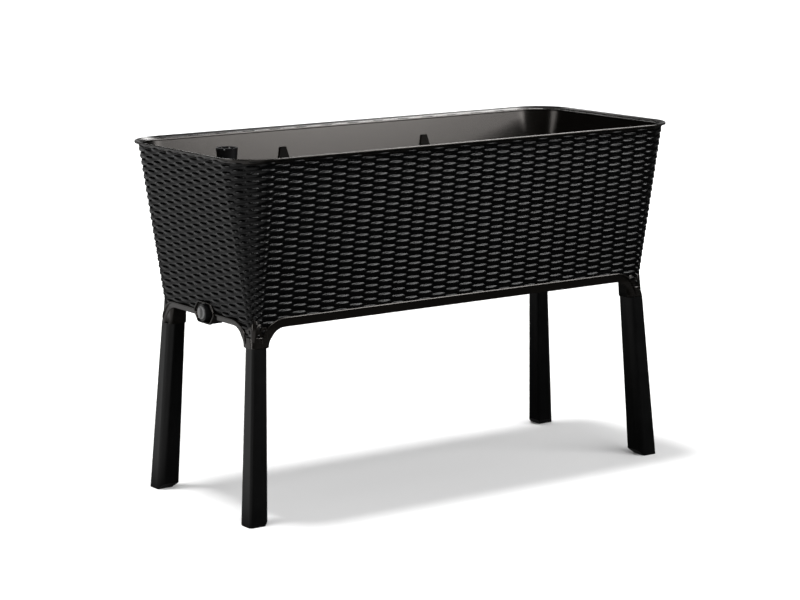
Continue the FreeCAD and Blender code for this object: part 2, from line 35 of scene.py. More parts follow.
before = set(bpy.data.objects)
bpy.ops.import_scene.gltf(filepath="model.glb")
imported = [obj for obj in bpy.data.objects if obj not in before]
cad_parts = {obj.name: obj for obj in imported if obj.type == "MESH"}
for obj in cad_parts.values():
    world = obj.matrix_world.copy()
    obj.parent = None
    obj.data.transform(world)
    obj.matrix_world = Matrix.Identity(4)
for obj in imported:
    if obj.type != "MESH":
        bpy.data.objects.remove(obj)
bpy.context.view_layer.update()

# ---------------------------------------------------------------- sizes
# Outer wall: it tapers from under the rim to the skirt, and flares slightly from there to the legs' seam
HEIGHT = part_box("basin")[1].z
RIM_THICK = 0.0045
WALL_TOP_Z = HEIGHT - RIM_THICK
WALL_TOP_HALF = (0.5631, 0.2400)
WALL_TOP_CORNER = 0.083
SKIRT_Z = 0.4025
WALL_FOOT_HALF = (0.5098, 0.1878)
WALL_FOOT_CORNER = 0.0205
SEAM_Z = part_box("basin")[0].z
SEAM_HALF = (0.5129, 0.1906)
SEAM_CORNER = 0.008
WALL_THICK = 0.0060

# Rim flange. Its section lists, round a closed loop, the distance from the outer edge (inwards is negative)
# and the height: underside, rounded outer edge, a band that slopes inwards, and a small inner edge that
# hangs down.
RIM_HALF = (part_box("basin")[1].x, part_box("basin")[1].y)
RIM_CORNER = 0.088
RIM_DROP = 0.0060
RIM_INNER_Z = HEIGHT - RIM_DROP
RIM_SECTION = (
    (-0.0075, WALL_TOP_Z - 0.0002),
    (-0.0012, WALL_TOP_Z - 0.0002),
    (-0.0004, WALL_TOP_Z),
    (0.0, WALL_TOP_Z + 0.0009),
    (0.0, HEIGHT - 0.0014),
    (-0.0004, HEIGHT - 0.0005),
    (-0.0014, HEIGHT),
    (-0.0024, HEIGHT - 0.0002),
    (-0.0032, HEIGHT - 0.0009),
    (-0.0100, RIM_INNER_Z + 0.0006),
    (-0.0112, RIM_INNER_Z + 0.0002),
    (-0.0124, RIM_INNER_Z + 0.0001),
    (-0.0131, RIM_INNER_Z - 0.0008),
    (-0.0133, RIM_INNER_Z - 0.0025),
    (-0.0133, RIM_INNER_Z - 0.0060),
    (-0.0095, RIM_INNER_Z - 0.0060),
)
RIM_CELLS = 6

# Inside of the tub. Cells and steps are mesh divisions: cells per weave column, steps along a profile.
INNER_TOP_Z = RIM_INNER_Z - 0.0040
FLOOR_TOP = 0.441
FLOOR_Z = 0.437
FLOOR_ROUND = 0.008
FLOOR_INSET = 0.0075
INNER_CELLS = 4
INNER_STEPS = 12
ROUND_STEPS = 6
INNER_SKIRT_RISE = 0.003
INNER_SKIRT_FRONT = 0.0012
INNER_SKIRT_BACK = 0.0002
INNER_SKIRT_ROWS = 6
LAP = 0.001

# Skirt: its lower edge is an arch between the legs, and a bead runs round above the smooth band
FILLET = 0.038
FILLET_Z = 0.3645
LONG_REACH = 0.433
END_REACH_FRONT = 0.111
END_REACH_BACK = 0.131
LONG_BAND = 0.019
END_BAND = 0.0125
BAND_STEPS = 12
BAND_SOFT = 0.0012
ARC_STEPS = 24
STRAIGHT_STEPS = 96
BEAD = 0.0024
BEAD_PROUD = 0.0002
BEAD_END_Z = 0.3720
BEAD_FADE = 0.012
BEAD_END_SHARE = 0.25
CORNER_Z = 0.3860

# Collars round the corners of the tub
COLLAR_ROWS = 14
COLLAR_LONG_CELLS = 3
COLLAR_ARC_CELLS = 8
COLLAR_END_CELLS = 7
COLLAR_GAP = 0.0005

# Legs, from the foot on the ground to the seam, and the sockets above the seam
FOOT_CENTRE = (0.5146, 0.1879)
FOOT_HALF = 0.0238
SEAM_CENTRE = (0.4926, 0.1703)
LEG_SEAM_HALF = 0.0197
LEG_CORNER = 0.0080
SOCKET_GROW = 0.0006
SOCKET_TUCK = 0.0015
SOCKET_CELLS = 2

# Drain cowl in the left end: a six-sided tunnel whose front edge is a bead
DRAIN_Z = (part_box("drain_valve")[0].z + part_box("drain_valve")[1].z) / 2
COWL_HALF = (0.0420, 0.0225)
COWL_FLAT = 0.0250
COWL_CORNER = 0.0090
COWL_CORNER_STEPS = 8
COWL_WALL = 0.0035
COWL_BACK_X = -0.4860
COWL_FRONT_X = -0.5150
COWL_BEAD_X = COWL_FRONT_X + 0.001
COWL_BEAD_OUT = 0.0005
COWL_BEAD_START = 20
COWL_BEAD_TURN = 22
COWL_BEAD_POINTS = 11
COWL_NECK_X = COWL_FRONT_X + 0.0035
COWL_NECK_LIP = 0.0010
COWL_LIP_X = COWL_FRONT_X + 0.004
COWL_OVERLAP = 0.001

# Weave: strands run round the tub, over and under upright columns
COLUMNS_LONG = 28
COLUMNS_END = 10
COLUMNS_CORNER = 4
SPANS = (COLUMNS_LONG, COLUMNS_CORNER, COLUMNS_END, COLUMNS_CORNER)
COLUMNS = 2 * sum(SPANS)
CELLS_PER_COLUMN = 14
ROW_PITCH = 0.0074
CELLS_PER_ROW = 8
STRAND_DEPTH = 0.0022
STRAND_THICK = 0.0025
STRAND_HALF = 0.0046
STRAND_GAP = 0.004
WAVE_POWER = 0.8
WEAVE_PROUD = 0.0008
WEAVE_TUCK = 0.0012
WEAVE_FOOT = 0.004
WEAVE_UNDER_BEAD = 0.0035


def between(low, high, share):
    """A value part of the way from low to high."""
    return low + (high - low) * share


# ---------------------------------------------------------------- outline of the tub
def section(z):
    """Half sizes and corner radius of the outer wall at height z. Works on arrays of z as well."""
    above = np.clip((z - SKIRT_Z) / (WALL_TOP_Z - SKIRT_Z), 0.0, 1.1)
    below = np.clip((SKIRT_Z - z) / (SKIRT_Z - SEAM_Z), 0.0, 1.0)
    half = []
    for axis in (0, 1):
        wall = between(WALL_FOOT_HALF[axis], WALL_TOP_HALF[axis], above)
        half.append(wall + (SEAM_HALF[axis] - WALL_FOOT_HALF[axis]) * below)
    corner = between(WALL_FOOT_CORNER, WALL_TOP_CORNER, above)
    corner = corner + (SEAM_CORNER - WALL_FOOT_CORNER) * below
    return half[0], half[1], corner


def outline(column, half_x, half_y, corner, offset=0.0):
    """x and y round a rounded rectangle. Columns count from the front left, counter-clockwise from above."""
    column = np.mod(np.asarray(column, float), COLUMNS)
    shape = np.broadcast(column, half_x, half_y, corner, offset).shape
    column, half_x, half_y, corner, offset = [
        np.broadcast_to(value, shape).astype(float) for value in (column, half_x, half_y, corner, offset)
    ]
    straight_x = half_x - corner
    straight_y = half_y - corner
    x = np.zeros(shape)
    y = np.zeros(shape)
    start = 0
    turn = -math.pi / 2
    for index in range(8):
        span = SPANS[index % 4]
        here = (column >= start) & (column < start + span)
        share = np.clip((column - start) / span, 0.0, 1.0)
        if index % 2 == 0:
            out_x = math.cos(turn)
            out_y = math.sin(turn)
            straight = straight_x if index % 4 == 0 else straight_y
            along = straight * (2 * share - 1)
            side_x = out_x * half_x - out_y * along
            side_y = out_y * half_y + out_x * along
        else:
            angle = turn + share * math.pi / 2
            out_x = np.cos(angle)
            out_y = np.sin(angle)
            sign_x = 1 if index in (1, 3) else -1
            sign_y = 1 if index in (3, 5) else -1
            side_x = sign_x * straight_x + corner * out_x
            side_y = sign_y * straight_y + corner * out_y
            turn += math.pi / 2
        x = np.where(here, side_x + out_x * offset, x)
        y = np.where(here, side_y + out_y * offset, y)
        start += span
    return x, y


def ring_columns(cells):
    """Columns of a closed ring round the whole outline, with this many cells in each weave column."""
    return np.arange(COLUMNS * cells) / cells


def wall_points(column, z, offset=0.0):
    """Points of the tub's wall, moved outwards by offset, as an array of (x, y, z)."""
    half_x, half_y, corner = section(z)
    x, y = outline(column, half_x, half_y, corner, offset)
    return np.stack([x, y, np.broadcast_to(z, x.shape)], axis=-1)


def wall_ring(z, offset):
    """A closed ring of points at height z, moved outwards from the wall by offset."""
    column = ring_columns(INNER_CELLS)
    return wall_points(column, np.full(len(column), z), offset)


# ---------------------------------------------------------------- mesh helpers
def mesh_piece(name, points, faces, material, smooth=True):
    """A mesh object from arrays of points and faces."""
    mesh = bpy.data.meshes.new(name)
    points = np.asarray(points, np.float32).reshape(-1, 3)
    counts = np.array([len(face) for face in faces], np.int32)
    loops = np.concatenate([np.asarray(face, np.int32) for face in faces])
    mesh.vertices.add(len(points))
    mesh.vertices.foreach_set("co", points.ravel())
    mesh.loops.add(len(loops))
    mesh.loops.foreach_set("vertex_index", loops)
    mesh.polygons.add(len(counts))
    starts = np.concatenate([[0], np.cumsum(counts)[:-1]]).astype(np.int32)
    mesh.polygons.foreach_set("loop_start", starts)
    mesh.polygons.foreach_set("use_smooth", np.full(len(counts), smooth))
    mesh.update(calc_edges=True)
    mesh.validate()
    piece = bpy.data.objects.new(name, mesh)
    bpy.context.scene.collection.objects.link(piece)
    piece.data.materials.append(material)
    return piece


def grid_faces(rows, columns, closed=False):
    """Faces of a grid of points, row after row. A closed grid joins its last column to its first."""
    row = np.arange(rows - 1)[:, None]
    column = np.arange(columns if closed else columns - 1)[None, :]
    after = (column + 1) % columns
    first = row * columns + column
    second = row * columns + after
    third = (row + 1) * columns + after
    fourth = (row + 1) * columns + column
    return np.stack([first, second, third, fourth], axis=-1).reshape(-1, 4)


def capped_faces(rows, columns):
    """Faces of a closed grid of rings, with a cap over the first ring and one over the last."""
    faces = grid_faces(rows, columns, True).tolist()
    faces.append(list(range(columns))[::-1])
    faces.append([(rows - 1) * columns + step for step in range(columns)])
    return faces


def slab(name, outer, inner, material, closed=False):
    """A thick sheet between two grids of points of the same shape, closed along its edges."""
    rows, columns = outer.shape[:2]
    count = rows * columns
    front = grid_faces(rows, columns, closed)
    back = grid_faces(rows, columns, closed)[:, ::-1] + count
    sides = []
    last = columns if closed else columns - 1
    for column in range(last):
        after = (column + 1) % columns
        sides.append((after, column, column + count, after + count))
        top = (rows - 1) * columns
        sides.append((top + column, top + after, top + after + count, top + column + count))
    if not closed:
        for row in range(rows - 1):
            left = row * columns
            above = left + columns
            sides.append((left, above, above + count, left + count))
            right = left + columns - 1
            sides.append((right + columns, right, right + count, right + columns + count))
    faces = [*front.tolist(), *back.tolist(), *sides]
    points = np.concatenate([outer.reshape(-1, 3), inner.reshape(-1, 3)])
    return mesh_piece(name, points, faces, material)


SOFT_ANGLE = 35.0
SOFT_SEGMENTS = 2


def soften(piece, width):
    """Rounds the sharp edges of a piece."""
    bevel = piece.modifiers.new("soft_edges", "BEVEL")
    bevel.width = width
    bevel.segments = SOFT_SEGMENTS
    bevel.limit_method = "ANGLE"
    bevel.angle_limit = math.radians(SOFT_ANGLE)
    return piece


TUBE_SIDES = 16
UPRIGHT = 0.9


def tube(name, path, radius, material):
    """A round bead along a path of points, with one radius for each point, closed at both ends."""
    path = np.asarray(path, float)
    ahead = np.gradient(path, axis=0)
    ahead /= np.linalg.norm(ahead, axis=1)[:, None]
    side = np.array([0.0, 0.0, 1.0])
    if abs(ahead[0] @ side) > UPRIGHT:
        side = np.array([1.0, 0.0, 0.0])
    points = []
    for index in range(len(path)):
        side = side - ahead[index] * (side @ ahead[index])
        side /= np.linalg.norm(side)
        across = np.cross(ahead[index], side)
        for step in range(TUBE_SIDES):
            angle = 2 * math.pi * step / TUBE_SIDES
            spoke = math.cos(angle) * side + math.sin(angle) * across
            points.append(path[index] + radius[index] * spoke)
    return mesh_piece(name, points, capped_faces(len(path), TUBE_SIDES), material)


# ---------------------------------------------------------------- materials
# Noise scales count features per metre. A range is the part of the noise that is spread over a value.
TINT_SCALE = 9.0
TINT_DETAIL = 4.0
TINT_RANGE = (0.35, 0.65)
ROUGH_SCALE = 40.0
ROUGH_DETAIL = 3.0
ROUGH_RANGE = (0.3, 0.7)
GRAIN_SCALE = 900.0
GRAIN_DETAIL = 6.0
GRAIN_DEPTH = 0.0004
CLEAR_TINT_SCALE = 60.0
CLEAR_ROUGH_SCALE = 80.0
CLEAR_IOR = 1.49


def new_material(name):
    """A material with its Principled shader."""
    material = bpy.data.materials.new(name)
    material.use_nodes = True
    return material, material.node_tree.nodes["Principled BSDF"]


def noise(material, scale, detail):
    """The value of a noise in object space."""
    nodes = material.node_tree.nodes
    place = nodes.new("ShaderNodeTexCoord")
    texture = nodes.new("ShaderNodeTexNoise")
    texture.inputs["Scale"].default_value = scale
    texture.inputs["Detail"].default_value = detail
    material.node_tree.links.new(place.outputs["Object"], texture.inputs["Vector"])
    return texture.outputs["Fac"]


def tint(material, shader, colours, scale):
    """Varies the base colour between a dark and a light one."""
    links = material.node_tree.links
    value = noise(material, scale, TINT_DETAIL)
    ramp = material.node_tree.nodes.new("ShaderNodeValToRGB")
    for stop, place, colour in zip(ramp.color_ramp.elements, TINT_RANGE, colours):
        stop.position = place
        stop.color = (*colour, 1.0)
    links.new(value, ramp.inputs["Fac"])
    links.new(ramp.outputs["Color"], shader.inputs["Base Color"])


def vary_roughness(material, shader, rough, scale):
    """Varies the roughness between two values."""
    links = material.node_tree.links
    value = noise(material, scale, ROUGH_DETAIL)
    spread = material.node_tree.nodes.new("ShaderNodeMapRange")
    spread.inputs["From Min"].default_value = ROUGH_RANGE[0]
    spread.inputs["From Max"].default_value = ROUGH_RANGE[1]
    spread.inputs["To Min"].default_value = rough[0]
    spread.inputs["To Max"].default_value = rough[1]
    links.new(value, spread.inputs["Value"])
    links.new(spread.outputs["Result"], shader.inputs["Roughness"])


def grain(material, shader, strength):
    """A fine moulded grain as a bump."""
    links = material.node_tree.links
    value = noise(material, GRAIN_SCALE, GRAIN_DETAIL)
    bump = material.node_tree.nodes.new("ShaderNodeBump")
    bump.inputs["Strength"].default_value = strength
    bump.inputs["Distance"].default_value = GRAIN_DEPTH
    links.new(value, bump.inputs["Height"])
    links.new(bump.outputs["Normal"], shader.inputs["Normal"])


def plastic(name, colours, rough, specular, bump=0.15):
    """Moulded plastic: two close colours, varied roughness and a fine grain."""
    material, shader = new_material(name)
    shader.inputs["Specular IOR Level"].default_value = specular
    tint(material, shader, colours, TINT_SCALE)
    vary_roughness(material, shader, rough, ROUGH_SCALE)
    grain(material, shader, bump)
    return material


def tint_shine(material, colour):
    """Gives the reflections of a material a colour."""
    shader = material.node_tree.nodes["Principled BSDF"]
    shader.inputs["Specular Tint"].default_value = (*colour, 1.0)


def clear(name, colours, rough):
    """Clear window plastic."""
    material, shader = new_material(name)
    shader.inputs["Transmission Weight"].default_value = 1.0
    shader.inputs["IOR"].default_value = CLEAR_IOR
    tint(material, shader, colours, CLEAR_TINT_SCALE)
    vary_roughness(material, shader, rough, CLEAR_ROUGH_SCALE)
    return material


WOVEN_COLOURS = ((0.0005, 0.0005, 0.0006), (0.0010, 0.0010, 0.0011))
INNER_COLOURS = ((0.0026, 0.0022, 0.0018), (0.0036, 0.0031, 0.0026))
INNER_SHINE = (1.0, 0.94, 0.89)
LEG_COLOURS = ((0.0012, 0.0012, 0.0013), (0.0022, 0.0022, 0.0022))
BLACK_COLOURS = ((0.0040, 0.0040, 0.0043), (0.0080, 0.0080, 0.0085))
GREY_COLOURS = ((0.15, 0.15, 0.15), (0.19, 0.19, 0.19))
WHITE_COLOURS = ((0.72, 0.72, 0.70), (0.82, 0.82, 0.80))
RED_COLOURS = ((0.42, 0.010, 0.008), (0.52, 0.016, 0.012))
RUBBER_COLOURS = ((0.010, 0.010, 0.010), (0.018, 0.018, 0.018))
BRACE_COLOURS = ((0.0030, 0.0025, 0.0020), (0.0050, 0.0042, 0.0034))
WINDOW_COLOURS = ((0.86, 0.90, 0.92), (0.94, 0.96, 0.97))

WOVEN = plastic("woven_resin", WOVEN_COLOURS, rough=(0.24, 0.30), specular=0.13, bump=0.05)
INNER = plastic("inner_resin", INNER_COLOURS, rough=(0.24, 0.26), specular=0.28, bump=0.04)
tint_shine(INNER, INNER_SHINE)
LEG = plastic("leg_resin", LEG_COLOURS, rough=(0.28, 0.34), specular=0.14, bump=0.06)
BLACK = plastic("gauge_black", BLACK_COLOURS, rough=(0.28, 0.42), specular=0.2)
DRAIN = plastic("drain_black", BLACK_COLOURS, rough=(0.30, 0.45), specular=0.2)
KNOB = plastic("knob_grey", GREY_COLOURS, rough=(0.32, 0.45), specular=0.45)
FLOAT = plastic("float_white", WHITE_COLOURS, rough=(0.35, 0.5), specular=0.45)
MARKER = plastic("marker_red", RED_COLOURS, rough=(0.3, 0.42), specular=0.45)
SEAL = plastic("seal_rubber", RUBBER_COLOURS, rough=(0.6, 0.8), specular=0.3)
BRACE = plastic("brace_resin", BRACE_COLOURS, rough=(0.60, 0.75), specular=0.03)
WINDOW = clear("clear_window", WINDOW_COLOURS, rough=(0.03, 0.10))


# ---------------------------------------------------------------- weave
def bead_height(x, y):
    """Height of the bead's middle line below the weave, at a place on the wall."""
    long_radius = FILLET + LONG_BAND
    run = np.clip(np.abs(x) - LONG_REACH, 0.0, long_radius)
    long_height = FILLET_Z + np.sqrt(long_radius ** 2 - run ** 2)
    long_height = np.where(np.abs(x) < LONG_REACH + long_radius, long_height, 0.0)
    end_radius = FILLET + END_BAND
    run = np.clip(np.where(y > 0, y - END_REACH_BACK, -y - END_REACH_FRONT), 0.0, end_radius)
    end_height = FILLET_Z + np.sqrt(end_radius ** 2 - run ** 2)
    half_x, half_y, _ = section(np.full(np.shape(x), FLOOR_Z))
    on_long = np.abs(y) - half_y > np.abs(x) - half_x
    return np.maximum(np.where(on_long, long_height, end_height), CORNER_Z)


def strand_relief(column, z):
    """Height of the woven strands over the wall's own surface."""
    place = (WALL_TOP_Z - z) / ROW_PITCH
    nearest = np.round(place)
    reliefs = []
    for shift in (-1, 0, 1):
        row = nearest + shift
        away = np.abs(place - row) * ROW_PITCH / STRAND_HALF
        profile = STRAND_THICK * np.sqrt(np.clip(1.0 - away ** 2, 0.0, 1.0))
        wave = np.cos(np.pi * (column + row - 0.5))
        wave = np.sign(wave) * np.abs(wave) ** WAVE_POWER
        reliefs.append(STRAND_DEPTH * wave + np.where(away < 1.0, profile, -STRAND_GAP))
    return np.max(reliefs, axis=0) - STRAND_DEPTH - STRAND_THICK + WEAVE_PROUD


def in_cowl(x, y, z):
    """Whether places on the wall lie inside the drain cowl's outline."""
    slope = COWL_HALF[1] / (COWL_HALF[0] - COWL_FLAT)
    away = np.abs(z - DRAIN_Z)
    return (x < 0) & (away < COWL_HALF[1]) & (away < (COWL_HALF[0] - np.abs(y)) * slope)


def weave_panel(name, first, last):
    """One stretch of woven wall between two columns, from under the rim down to the bead."""
    low = CORNER_Z - WEAVE_FOOT
    rows = int((WALL_TOP_Z - low) / ROW_PITCH * CELLS_PER_ROW) + 1
    cells = (last - first) * CELLS_PER_COLUMN + 1
    column = np.linspace(first, last, cells)[None, :]
    z = np.linspace(low, WALL_TOP_Z, rows)[:, None]
    wall = wall_points(column, np.broadcast_to(z, (rows, cells)))
    x = wall[..., 0]
    y = wall[..., 1]
    bead = bead_height(x, y)
    relief = np.where(z < bead, -STRAND_DEPTH * 2 - WEAVE_TUCK, strand_relief(column, z))
    points = wall_points(column, np.broadcast_to(z, (rows, cells)), relief)
    shown = ((z > bead - WEAVE_UNDER_BEAD) & ~in_cowl(x, y, z)).ravel()
    faces = grid_faces(rows, cells)
    faces = faces[shown[faces].all(axis=1)]
    used = np.unique(faces)
    new_index = np.zeros(rows * cells, np.int64)
    new_index[used] = np.arange(len(used))
    return mesh_piece(name, points.reshape(-1, 3)[used], new_index[faces], WOVEN)


def weave():
    """All stretches of woven wall: two on each long side and one on each end with its corners."""
    half_long = COLUMNS_LONG // 2
    end = COLUMNS_CORNER * 2 + COLUMNS_END
    spans = [
        ("weave_front_left", 0, half_long),
        ("weave_front_right", half_long, COLUMNS_LONG),
        ("weave_right", COLUMNS_LONG, COLUMNS_LONG + end),
        ("weave_back_right", COLUMNS_LONG + end, COLUMNS_LONG + end + half_long),
        ("weave_back_left", COLUMNS_LONG + end + half_long, 2 * COLUMNS_LONG + end),
        ("weave_left", 2 * COLUMNS_LONG + end, COLUMNS),
    ]
    return [weave_panel(*span) for span in spans]


# ---------------------------------------------------------------- skirt, collars, sockets and cowl
def edge_path(reaches, radius, low=FILLET_Z):
    """Places along the side and heights of an arch edge: straight, with an arc down at both ends."""
    limit = math.acos(min((low - FILLET_Z) / radius, 1.0))
    angles = np.linspace(limit, 0.0, ARC_STEPS + 1)
    run = radius * np.sin(angles)
    height = FILLET_Z + radius * np.cos(angles)
    straight = np.linspace(-reaches[0], reaches[1], STRAIGHT_STEPS + 1)[1:-1]
    first = np.stack([-reaches[0] - run, height], axis=-1)
    middle = np.stack([straight, np.full(len(straight), FILLET_Z + radius)], axis=-1)
    last = np.stack([reaches[1] + run, height], axis=-1)[::-1]
    return np.concatenate([first, middle, last])


def side_shape(side):
    """Reaches of the straight part, and height of the band, on one side."""
    if side in ("front", "back"):
        return (LONG_REACH, LONG_REACH), LONG_BAND
    if side == "right":
        return (END_REACH_FRONT, END_REACH_BACK), END_BAND
    return (END_REACH_BACK, END_REACH_FRONT), END_BAND


def stretches(side, path):
    """Runs of path points that a side's band or bead covers: the drain cowl interrupts the left end."""
    places = np.arange(len(path))
    if side != "left":
        return [places]
    reach = COWL_HALF[0] - COWL_OVERLAP
    return [places[path[:, 0] < -reach], places[path[:, 0] > reach]]


def on_side(side, along, z, offset):
    """Points on one flat side of the wall. Sides are front, right, back and left."""
    half_x, half_y, _ = section(z)
    if side == "front":
        return np.stack([along, -half_y - offset, z], axis=-1)
    if side == "back":
        return np.stack([-along, half_y + offset, z], axis=-1)
    if side == "right":
        return np.stack([half_x + offset, along, z], axis=-1)
    return np.stack([-half_x - offset, -along, z], axis=-1)


def skirt_band(side):
    """The smooth band between the bead and the skirt's edge. It rounds off towards the legs' seams."""
    reaches, band = side_shape(side)
    rows = [edge_path(reaches, FILLET + band * step / BAND_STEPS) for step in range(BAND_STEPS + 1)]
    path = np.stack(rows)
    reach = np.clip(LEG_CORNER - np.linspace(0.0, band, BAND_STEPS + 1), 0.0, None)[:, None]
    round_off = LEG_CORNER - np.sqrt(LEG_CORNER ** 2 - reach ** 2)
    round_off = round_off * np.clip((CORNER_Z - path[..., 1]) / (CORNER_Z - SEAM_Z), 0.0, 1.0)
    made = []
    for number, run in enumerate(stretches(side, rows[0])):
        outer = on_side(side, path[:, run, 0], path[:, run, 1], -round_off[:, run])
        inner = on_side(side, path[:, run, 0], path[:, run, 1], -round_off[:, run] - WALL_THICK)
        made.append(soften(slab("skirt_%s_%d" % (side, number), outer, inner, INNER), BAND_SOFT))
    return made


def skirt_bead(side):
    """The bead that borders the weave on one side. It thins out towards its lower ends."""
    reaches, band = side_shape(side)
    path = edge_path(reaches, FILLET + band, BEAD_END_Z)
    made = []
    for number, run in enumerate(stretches(side, path)):
        line = on_side(side, path[run, 0], path[run, 1], BEAD_PROUD)
        fade = np.clip((path[run, 1] - BEAD_END_Z) / BEAD_FADE, 0.0, 1.0)
        radius = BEAD * between(BEAD_END_SHARE, 1.0, np.sqrt(fade))
        made.append(tube("bead_%s_%d" % (side, number), line, radius, INNER))
    return made


def collar_row(z, end_reach):
    """Points round the front right corner at one height, from the long side's skirt to the end's."""
    half_x, half_y, corner = section(z)
    rise = z - FILLET_Z
    x_start = LONG_REACH + math.sqrt((FILLET + LONG_BAND) ** 2 - rise ** 2)
    y_start = end_reach + math.sqrt((FILLET + END_BAND) ** 2 - rise ** 2)
    y_start = min(y_start, half_y - corner - COLLAR_GAP)
    points = []
    for x in np.linspace(x_start, half_x - corner, COLLAR_LONG_CELLS + 1)[:-1]:
        points.append((x, -half_y, z))
    for step in range(COLLAR_ARC_CELLS + 1):
        angle = -math.pi / 2 + math.pi / 2 * step / COLLAR_ARC_CELLS
        x = half_x - corner + corner * math.cos(angle)
        y = -half_y + corner + corner * math.sin(angle)
        points.append((x, y, z))
    for y in np.linspace(-half_y + corner, -y_start, COLLAR_END_CELLS + 1)[1:]:
        points.append((half_x, y, z))
    return points


def corner_collar(name, sign_x, sign_y):
    """The smooth collar round one corner, from the leg seam up to the weave."""
    end_reach = END_REACH_FRONT if sign_y < 0 else END_REACH_BACK
    levels = np.linspace(SEAM_Z, CORNER_Z + LAP, COLLAR_ROWS)
    outer = np.array([collar_row(z, end_reach) for z in levels])
    middle = np.array([SEAM_CENTRE[0] - LEG_SEAM_HALF, LEG_SEAM_HALF - SEAM_CENTRE[1], 0.0])
    away = outer - middle
    away[..., 2] = 0.0
    inner = outer - away / np.linalg.norm(away, axis=-1, keepdims=True) * WALL_THICK
    for grid in (outer, inner):
        grid[..., 0] *= sign_x
        grid[..., 1] *= -sign_y
    if sign_x == sign_y:
        outer = outer[:, ::-1]
        inner = inner[:, ::-1]
    return slab(name, outer, inner, INNER)


def leg_socket(name, sign_x, sign_y):
    """The closed box that a leg's top goes into, from the seam up to the floor, in line with the leg."""
    column = ring_columns(SOCKET_CELLS)
    rows = []
    for z in (SEAM_Z, SKIRT_Z, FLOOR_Z + LAP):
        share = z / SEAM_Z
        half = between(FOOT_HALF, LEG_SEAM_HALF, share) + SOCKET_GROW
        centre = [between(FOOT_CENTRE[axis], SEAM_CENTRE[axis], share) - SOCKET_TUCK for axis in (0, 1)]
        x, y = outline(column, half, half, LEG_CORNER)
        level = np.full(len(column), z)
        rows.append(np.stack([x + sign_x * centre[0], y + sign_y * centre[1], level], axis=-1))
    return mesh_piece(name, np.stack(rows), capped_faces(len(rows), len(column)), INNER)


def cowl_outline(grow):
    """Rounded six-sided outline of the drain cowl as (y, z), grown outwards."""
    half_y = COWL_HALF[0] + grow
    half_z = COWL_HALF[1] + grow
    flat = COWL_FLAT + grow / 2
    corners = [
        Vector((half_y, 0)),
        Vector((flat, half_z)),
        Vector((-flat, half_z)),
        Vector((-half_y, 0)),
        Vector((-flat, -half_z)),
        Vector((flat, -half_z)),
    ]
    radius = COWL_CORNER + grow
    points = []
    for index, corner in enumerate(corners):
        before = (corners[index - 1] - corner).normalized()
        after = (corners[(index + 1) % len(corners)] - corner).normalized()
        half_turn = before.angle(after) / 2
        reach = radius / math.tan(half_turn)
        centre = corner + (before + after).normalized() * (radius / math.sin(half_turn))
        first = corner + before * reach - centre
        last = corner + after * reach - centre
        for step in range(COWL_CORNER_STEPS + 1):
            spoke = first.lerp(last, step / COWL_CORNER_STEPS).normalized() * radius
            points.append(centre + spoke)
    return np.array(points)


def drain_cowl():
    """The ring round the drain: a beaded front edge and a short six-sided tunnel."""
    profile = [(COWL_BACK_X, 0.0), (COWL_LIP_X, 0.0), (COWL_NECK_X, COWL_NECK_LIP)]
    for step in range(COWL_BEAD_POINTS):
        angle = math.radians(COWL_BEAD_START + COWL_BEAD_TURN * step)
        x = COWL_BEAD_X - BEAD * math.sin(angle)
        grow = BEAD * math.cos(angle) - COWL_WALL / 2 + COWL_BEAD_OUT
        profile.append((x, grow))
    profile += [(COWL_NECK_X, -COWL_WALL), (COWL_BACK_X, -COWL_WALL)]
    rows = []
    for x, grow in profile:
        flat = cowl_outline(grow)
        rows.append(np.stack([np.full(len(flat), x), flat[:, 0], DRAIN_Z + flat[:, 1]], axis=-1))
    rows.append(rows[0])
    points = np.stack(rows)
    return mesh_piece("drain_cowl", points, grid_faces(len(rows), points.shape[1], True), INNER)


# ---------------------------------------------------------------- rim and inside of the tub
def rim_flange():
    """The flange round the top of the tub."""
    column = ring_columns(RIM_CELLS)
    rows = []
    for offset, z in RIM_SECTION:
        x, y = outline(column, RIM_HALF[0], RIM_HALF[1], RIM_CORNER, offset)
        rows.append(np.stack([x, y, np.full(len(column), z)], axis=-1))
    rows.append(rows[0])
    return mesh_piece("rim_flange", np.stack(rows), grid_faces(len(rows), len(column), True), INNER)


def inner_shell():
    """The smooth inside of the tub: wall and rounded foot of the wall."""
    rows = []
    for step in range(INNER_STEPS + 1):
        z = between(INNER_TOP_Z, FLOOR_TOP + FLOOR_ROUND, step / INNER_STEPS)
        rows.append(wall_ring(z, -WALL_THICK))
    for step in range(1, ROUND_STEPS + 1):
        angle = math.pi / 2 * step / ROUND_STEPS
        inset = FLOOR_ROUND * (1 - math.cos(angle))
        rows.append(wall_ring(FLOOR_TOP + FLOOR_ROUND * (1 - math.sin(angle)), -WALL_THICK - inset))
    faces = grid_faces(len(rows), len(rows[0]), True)[:, ::-1]
    return mesh_piece("inner_shell", np.stack(rows)[::-1], faces, INNER)


def floor_plate():
    """The basin's floor, closed below."""
    top = wall_ring(FLOOR_TOP, -WALL_THICK - FLOOR_INSET)
    bottom = wall_ring(FLOOR_Z, -WALL_THICK + LAP)
    cells = len(top)
    faces = grid_faces(2, cells, True)[:, ::-1].tolist()
    faces.append(list(range(cells)))
    faces.append(list(range(cells, 2 * cells))[::-1])
    return mesh_piece("floor_plate", np.concatenate([top, bottom]), faces, INNER, smooth=False)


def inner_skirt():
    """The inside of the skirt below the floor, behind the weave."""
    levels = np.linspace(FLOOR_Z + LAP, SKIRT_Z + INNER_SKIRT_RISE, INNER_SKIRT_ROWS)[::-1]
    front = np.stack([wall_ring(z, -WALL_THICK + INNER_SKIRT_FRONT) for z in levels])
    back = np.stack([wall_ring(z, -WALL_THICK - INNER_SKIRT_BACK) for z in levels])
    return slab("inner_skirt", front, back, INNER, closed=True)


